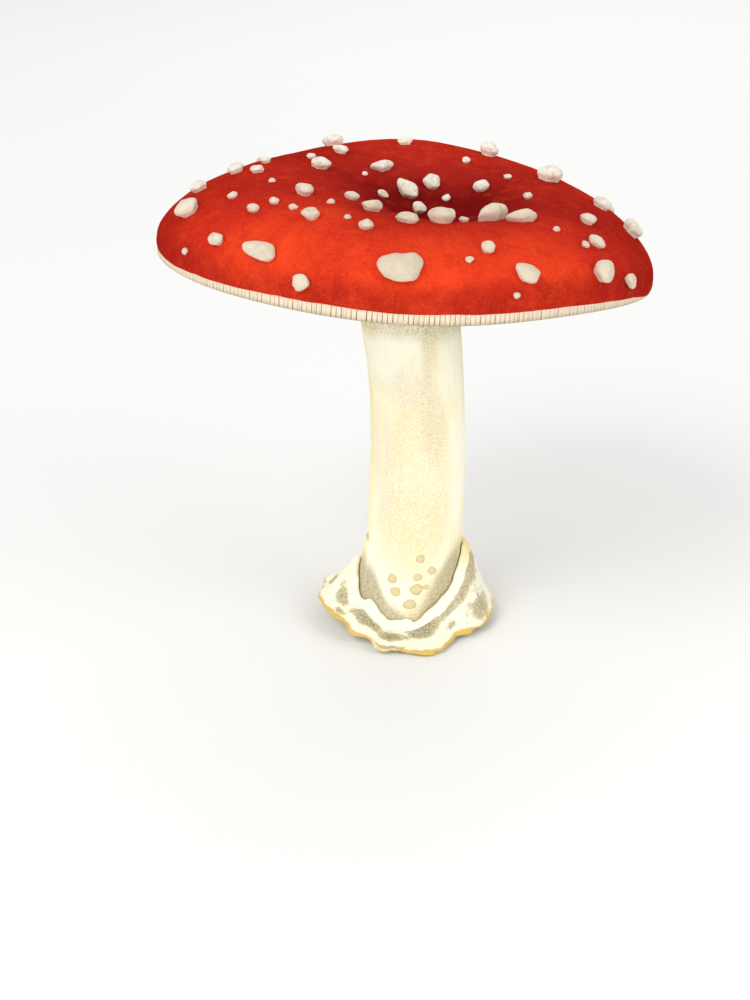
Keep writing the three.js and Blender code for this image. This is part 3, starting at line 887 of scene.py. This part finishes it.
def gill_depth(radius):
    """Height of a gill's lower edge under the seat of the flesh."""
    for (inner, shallow), (outer, deep) in zip(GILL_DEPTHS, GILL_DEPTHS[1:]):
        if radius <= outer * MM:
            way = (radius / MM - inner) / (outer - inner)
            return (shallow + (deep - shallow) * max(way, 0.0)) * MM
    return GILL_DEPTHS[-1][1] * MM


def margin_lift(place):
    """Lift of the wavy margin, which fades out towards the crown."""
    turn = bearing_of(place)
    wave = sum(lift * math.cos(math.radians(lobes * (turn - crest))) for lobes, lift, crest in MARGIN_WAVES)
    return wave * (math.hypot(place.x, place.y) / CAP_RADIUS) ** MARGIN_FADE


def make_blade(name, stations):
    """One gill along +X: a bar cut at the stations, then tapered and deepened."""
    start = stations[0] * MM
    length = GILL_END - start
    bpy.ops.object.select_all(action="DESELECT")
    middle = (start + length / 2, 0.0, 0.0)
    bpy.ops.mesh.primitive_cube_add(size=1.0, location=middle, scale=(length, 1.0, 1.0))
    blade = bpy.context.active_object
    blade.name = name
    bpy.ops.object.transform_apply(location=True, rotation=True, scale=True)
    bpy.ops.object.mode_set(mode="EDIT")
    for station in stations[1:]:
        bpy.ops.mesh.select_all(action="SELECT")
        bpy.ops.mesh.bisect(plane_co=(station * MM, 0.0, 0.0), plane_no=(1.0, 0.0, 0.0))
    bpy.ops.object.mode_set(mode="OBJECT")
    innermost = LONG_GILL_STATIONS[0] * MM
    for vertex in blade.data.vertices:
        place = vertex.co
        way = (place.x - innermost) / (GILL_END - innermost)
        thickness = GILL_THIN + (GILL_THICK - GILL_THIN) * way ** GILL_TAPER
        taper = share(place.x, start - MM, start + GILL_START)
        top = flesh_height(place.x)
        if place.z > 0:
            place.z = top + GILL_ROOT
        else:
            thickness *= GILL_EDGE_SHARE
            place.z = top - (top - FLESH_SEAT + gill_depth(place.x)) * taper
        place.y = math.copysign(thickness / 2, place.y)
    blade.data.update()
    return blade


def make_gills():
    """All the gills as one ring, waved with the margin and tilted with the cap."""
    blades = (make_blade("long_gill", LONG_GILL_STATIONS), make_blade("short_gill", SHORT_GILL_STATIONS))
    step = 2.0 * math.pi / (2 * LONG_GILLS)
    copies = []
    for number in range(2 * LONG_GILLS):
        blade = blades[number % 2]
        mesh = blade.data.copy()
        wobble = GILL_WOBBLE * step * lumps(Vector((number * GILL_WOBBLE_STEP, 0.0, 0.0)), 1.0)
        mesh.transform(Matrix.Rotation(number * step + wobble, 4, "Z"))
        copy = bpy.data.objects.new(f"gill_{number}", mesh)
        bpy.context.scene.collection.objects.link(copy)
        copies.append(copy)
    for blade in blades:
        bpy.data.objects.remove(blade)
    bpy.ops.object.select_all(action="DESELECT")
    for copy in copies:
        copy.select_set(True)
    bpy.context.view_layer.objects.active = copies[0]
    bpy.ops.object.join()
    ring = copies[0]
    ring.name = "gill_ring"

    def below_flesh(place):
        return flesh_height(math.hypot(place.x, place.y)) - place.z

    def wave(place, _):
        low = share(below_flesh(place), 0.0, GILL_LIFT_DEPTH)
        outer = share(math.hypot(place.x, place.y), *GILL_LIFT_RADII)
        band_lift = low * outer * humps(bearing_of(place), GILL_BAND_LIFTS)
        return Vector((0.0, 0.0, margin_lift(place) + band_lift))

    # How far down the gill each point lies, for the painted shade at the lower edges
    note(ring, "edge", lambda place: share(below_flesh(place), 0.0, GILL_PAINTED_SHADE_DEPTH))
    sculpt(ring, wave)
    ring.data.transform(CAP_FRAME)
    settle(ring, "gill", gill_paint(), "gills")


# Stem and its scales


def stem_shift(height):
    """Sideways shift of the bowed stem's axis at a height."""
    way = height / STEM_HEIGHT
    return STEM_TOP_SHIFT * way + Vector((STEM_BOW * math.sin(math.pi * way), 0.0, 0.0))


def make_stem():
    """Fibrous stem: long shallow grooves, soft swellings and a rougher foot."""
    piece = merged_copy("stem", "stem_flesh")
    smooth_up(piece, 3)

    def grooves(place, normal):
        if place.z < CUT_FOOT_HEIGHT or abs(normal.z) > LEVEL_FACE:
            return Vector((0.0, 0.0, 0.0))
        drawn_out = Vector((place.x, place.y, GROOVE_STRETCH * place.z))
        foot = 1.0 - share(place.z, *SMOOTH_STEM_HEIGHTS)
        groove = sum(depth * lumps(drawn_out, size, seed) for depth, size, seed in GROOVES)
        swelling = STEM_SWELLING[0] * lumps(place, STEM_SWELLING[1])
        rough = foot * FOOT_ROUGHNESS[0] * lumps(place, FOOT_ROUGHNESS[1])
        return normal * (groove + swelling + rough)

    def painted_shade(place):
        """Olive painted shade just above the cup's rim, strongest at the front's left and right."""
        bearing = bearing_of(place)
        above = place.z / MM - rim_height(bearing)
        strength = PAINTED_SHADE_BASE + humps(bearing, PAINTED_SHADE_SIDES)
        reach = PAINTED_SHADE_HEIGHT + humps(bearing, PAINTED_SHADE_REACHES)
        return strength * (1.0 - share(above, 0.0, reach))

    def side(place):
        """1 on the left and right sides of the stem and 0 in front and behind."""
        outward = place - stem_shift(place.z)
        return abs(math.cos(math.atan2(outward.y, outward.x)))

    sculpt(piece, grooves)
    # Notes the strength of the painted shade above the cup
    note(piece, "painted_shade", painted_shade)
    note(piece, "side", side)
    settle(piece, "stem", stem_paint(), "stem")
    return piece


def surface_under(carrier, outside, middle):
    """Point and normal where a line from outside towards the middle first meets the carrier."""
    hit, place, normal, _ = carrier.ray_cast(outside, (middle - outside).normalized())
    assert hit
    return place, normal


def make_patch(name, carrier, spot, size, material, slot):
    """Small lump or scale: a ball flattened on the surface, with a ragged outline."""
    place, normal = spot
    long, wide, tall = size
    bpy.ops.object.select_all(action="DESELECT")
    bpy.ops.mesh.primitive_uv_sphere_add(segments=PATCH_AROUND, ring_count=PATCH_RINGS, radius=1.0)
    piece = bpy.context.active_object
    piece.name = name
    seed = float(sum(ord(letter) for letter in name) % PATCH_SEEDS)

    def outline(point, _):
        ragged = 1.0 + PATCH_RAGGED * lumps(Vector((point.x, point.y, 0.0)), PATCH_LOBE, seed)
        stretched = Vector((point.x * long / 2 * ragged, point.y * wide / 2 * ragged, point.z * tall))
        return stretched - point

    sculpt(piece, outline)
    turn = normal.to_track_quat("Z", "Y").to_matrix().to_4x4()
    piece.data.transform(Matrix.Translation(place) @ turn)

    def hug(point, _):
        _, foot, out, _ = carrier.closest_point_on_mesh(point)
        above = (point - place).dot(normal)
        return foot + out * above - point

    sculpt(piece, hug)
    only(piece)
    bpy.ops.object.shade_smooth()
    crust_of(piece, carrier, tall)
    settle(piece, slot, material)


# Volva


def rim_height(bearing):
    """Height of the cup's torn rim, in millimetres."""
    return RIM_HEIGHT + humps(bearing, RIM_HUMPS)


def rim_radius(bearing):
    """Radius of the cup's torn rim, in millimetres."""
    return RIM_RADIUS + humps(bearing, RIM_SPREADS)


def ring_noise(bearing, size, seed):
    """Noise round the stem whose waves are about the given size in degrees."""
    turn = math.radians(bearing)
    return lumps(Vector((math.cos(turn), math.sin(turn), 0.0)), math.radians(size), seed)


def ragged_ring(bearing, rags):
    """Sum of the waves of a torn edge at a bearing."""
    return sum(depth * ring_noise(bearing, size, seed) for depth, size, seed in rags)


def stem_radius(stem, bearing, height):
    """Distance from the stem's axis to its surface at a bearing and a height, in millimetres."""
    axis = stem_shift(height * MM) + Vector((0.0, 0.0, height * MM))
    turn = math.radians(bearing)
    outside = axis + Vector((math.cos(turn), math.sin(turn), 0.0)) * 2 * HEM_RADIUS * MM
    place, _ = surface_under(stem, outside, axis)
    return (place - axis).length / MM


def make_flap(name, stem, skirt, first, last, outer, tip):
    """One torn side of the cup: a sheet up the stem whose edge rolls out over the skirt as a lip."""
    bpy.ops.object.select_all(action="DESELECT")
    bpy.ops.mesh.primitive_grid_add(x_subdivisions=CUP_CELLS[0], y_subdivisions=CUP_CELLS[1], size=1.0)
    flap = bpy.context.active_object
    flap.name = name
    note(flap, "lip", lambda place: share(place.y + 0.5, *LIP_PAINT))

    def wrap(place, _):
        along = place.x + 0.5
        up = place.y + 0.5
        bearing = first + (last - first) * along
        ends = share(along, 0.0, tip) * share(1.0 - along, 0.0, tip)
        ragged = ragged_ring(bearing, RIM_RAGS)
        upright = END_HEIGHT_SHARE + (1.0 - END_HEIGHT_SHARE) * ends
        rim = CUP_LOWEST_RIM + (rim_height(bearing) + ragged - CUP_LOWEST_RIM) * upright
        overlap = outer * share(1.0 - along, OVERLAP_START, 1.0)
        radius = stem_radius(stem, bearing, rim) + CUP_CLEARANCE + overlap
        hang = 0.0
        if up < CUP_WALL_SHARE:
            way = up / CUP_WALL_SHARE
            distance = CUP_FOOT_RADIUS + (radius - CUP_FOOT_RADIUS) * way
            height = CUP_FOOT_HEIGHT + (rim - CUP_FOOT_HEIGHT) * way
        else:
            way = (up - CUP_WALL_SHARE) / (1.0 - CUP_WALL_SHARE)
            turn = min(way / CUP_ROLL_SHARE, 1.0) * LIP_TURN
            hang = max(way - CUP_ROLL_SHARE, 0.0) / (1.0 - CUP_ROLL_SHARE)
            slim = 1.0 - humps(bearing, LIP_SLIMMING)
            narrow = END_WIDTH_SHARE + (1.0 - END_WIDTH_SHARE) * ends
            width = LIP_WIDTH * slim * narrow * (1.0 + ragged_ring(bearing, LIP_RAGS))
            roll = LIP_ROLL * slim
            distance = radius + roll * (1.0 - math.cos(turn)) + LIP_FALL[0] * width * hang
            height = rim + roll * math.sin(turn) - LIP_FALL[1] * width * hang
        distance += ragged_ring(bearing, WALL_RAGS) * up
        angle = math.radians(bearing)
        spot = Vector((distance * math.cos(angle), distance * math.sin(angle), height)) * MM
        spot += stem_shift(height * MM)
        _, below, facing, _ = skirt.closest_point_on_mesh(spot)
        spot = spot.lerp(below + facing * LIP_LIFT * MM, share(hang, 0.0, LIP_LANDING))
        return spot - place

    sculpt(flap, wrap)
    sheet = flap.modifiers.new("sheet", "SOLIDIFY")
    sheet.thickness = CUP_SHEET * MM
    sheet.offset = 0.0
    only(flap)
    bpy.ops.object.modifier_apply(modifier=sheet.name)
    smooth_up(flap, 1)
    return flap


def make_cup(stem, skirt, material):
    """Torn cup of two flaps, the right one over the left one in front."""
    right = make_flap("volva_cup", stem, skirt, *RIGHT_FLAP)
    left = make_flap("left_flap", stem, skirt, *LEFT_FLAP)
    only(right)
    left.select_set(True)
    bpy.ops.object.join()
    depth, size = CUP_WRINKLE
    sculpt(right, lambda place, normal: normal * depth * lumps(place, size * MM) * MM)
    settle(right, "volva", material, "volva_collar")


def make_skirt(material):
    """Outer torn sheet with pleats and a ragged, scalloped hem."""
    piece = merged_copy("volva_skirt", "volva_hem")
    smooth_up(piece, 2)

    def along(place):
        bearing = bearing_of(place)
        top = rim_radius(bearing) + SKIRT_TOP_GAP
        hem = HEM_RADIUS + humps(bearing, HEM_SPREADS)
        centre = stem_shift(place.z)
        return (math.hypot(place.x - centre.x, place.y - centre.y) / MM - top) / (hem - top)

    def torn(place, normal):
        bearing = bearing_of(place)
        hem = share(along(place), HEM_START, 1.0)
        outward = Vector((place.x, place.y, 0.0)).normalized()
        spread = outward * (HEM_STRETCH + ragged_ring(bearing, HEM_RAGS)) * hem
        sag = Vector((0.0, 0.0, -HEM_SAG * hem))
        pleat = normal * ragged_ring(bearing, HEM_PLEATS) * hem
        wrinkle = normal * SKIRT_WRINKLE[0] * lumps(place, SKIRT_WRINKLE[1] * MM)
        move = (spread + sag + pleat + wrinkle) * MM
        move.z = max(move.z, SKIRT_LOWEST * MM - place.z)
        return move

    # Stains, and painted shadow near the top of the skirt under the cup's lip
    def stain_and_shadow(place):
        way = along(place)
        bearing = bearing_of(place)
        return max(
            strength * hill(bearing, centre, spread) * math.exp(-(((way - middle) / reach) ** 2))
            for strength, centre, spread, middle, reach in STAINS_AND_SHADOWS
        )

    note(piece, "along", along)
    note(piece, "stain_and_shadow", stain_and_shadow)
    note(piece, "ochre", lambda place: humps(bearing_of(place), OCHRE_HEMS))
    sculpt(piece, torn)
    settle(piece, "volva", material, "volva_skirt")
    return piece


def make_small_warts(carrier, material):
    """Small warts between the large ones, set on the skin."""
    for number, (bearing, rise, width) in enumerate(SMALL_WARTS, 1):
        turn = math.radians(bearing)
        lift = math.radians(rise)
        way = Vector((math.cos(turn) * math.cos(lift), math.sin(turn) * math.cos(lift), math.sin(lift)))
        spot = surface_under(carrier, CAP_FRAME @ (way * 2 * CAP_RADIUS), CAP_CENTRE)
        size = [width * MM * part for part in SMALL_WART_SHAPE]
        make_patch(f"small_wart_{number:02d}", carrier, spot, size, material, "wart")


def make_scales(carrier, material):
    """Flat scales that hug the lower stem."""
    for number, (bearing, height, long, wide) in enumerate(SCALES, 1):
        turn = math.radians(bearing)
        axis = SCALE_AXIS + Vector((0.0, 0.0, height)) * MM
        outside = axis + Vector((math.cos(turn), math.sin(turn), 0.0)) * SCALE_OUTSIDE
        spot = surface_under(carrier, outside, axis)
        size = (long * MM, wide * MM, SCALE_HEIGHT)
        make_patch(f"stem_scale_{number:02d}", carrier, spot, size, material, "wart")


# Studio


def make_floor():
    """Wide level floor under the foot."""
    bpy.ops.object.select_all(action="DESELECT")
    bpy.ops.mesh.primitive_plane_add(size=FLOOR_SIZE)
    floor = bpy.context.active_object
    floor.name = "floor"
    floor.data.materials.append(floor_paint())


def make_light(name, place, size, power):
    """Soft round light that faces the mushroom."""
    light = bpy.data.lights.new(name, "AREA")
    light.shape = "DISK"
    light.size = size
    light.energy = power
    light.specular_factor = LIGHT_GLOSS
    lamp = bpy.data.objects.new(name, light)
    lamp.location = place
    lamp.rotation_euler = (LIGHT_AIM - Vector(place)).to_track_quat("-Z", "Y").to_euler()
    bpy.context.scene.collection.objects.link(lamp)


def make_studio():
    """Floor, soft lights and an even white surrounding."""
    make_floor()
    for light in LIGHTS:
        make_light(*light)
    world = bpy.data.worlds.new("studio")
    world.use_nodes = True
    sky = world.node_tree.nodes["Background"]
    sky.inputs["Color"].default_value = (1.0, 1.0, 1.0, 1.0)
    sky.inputs["Strength"].default_value = SKY_STRENGTH
    bpy.context.scene.world = world
    bpy.context.scene.view_settings.view_transform = "Standard"


def make_camera():
    """Camera in front, looking slightly down."""
    lens = bpy.data.cameras.new("camera")
    lens.lens = CAMERA_LENS
    lens.sensor_width = CAMERA_SENSOR
    lens.clip_start = CAMERA_NEAREST
    camera = bpy.data.objects.new("camera", lens)
    back = Vector((0.0, -math.cos(CAMERA_ELEVATION), math.sin(CAMERA_ELEVATION)))
    camera.location = AIM + back * CAMERA_DISTANCE
    camera.rotation_euler = (-back).to_track_quat("-Z", "Y").to_euler()
    bpy.context.scene.collection.objects.link(camera)
    bpy.context.scene.camera = camera


make_camera()
make_studio()
cap = make_cap()
wart_cream = wart_paint()
for node_name in sorted(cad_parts):
    if node_name.startswith("wart_"):
        make_wart(node_name, cap, wart_cream)
make_small_warts(cap, wart_cream)
make_gills()
stem = make_stem()
make_scales(stem, scale_paint())
skirt = make_skirt(skirt_paint())
make_cup(stem, skirt, cup_paint())
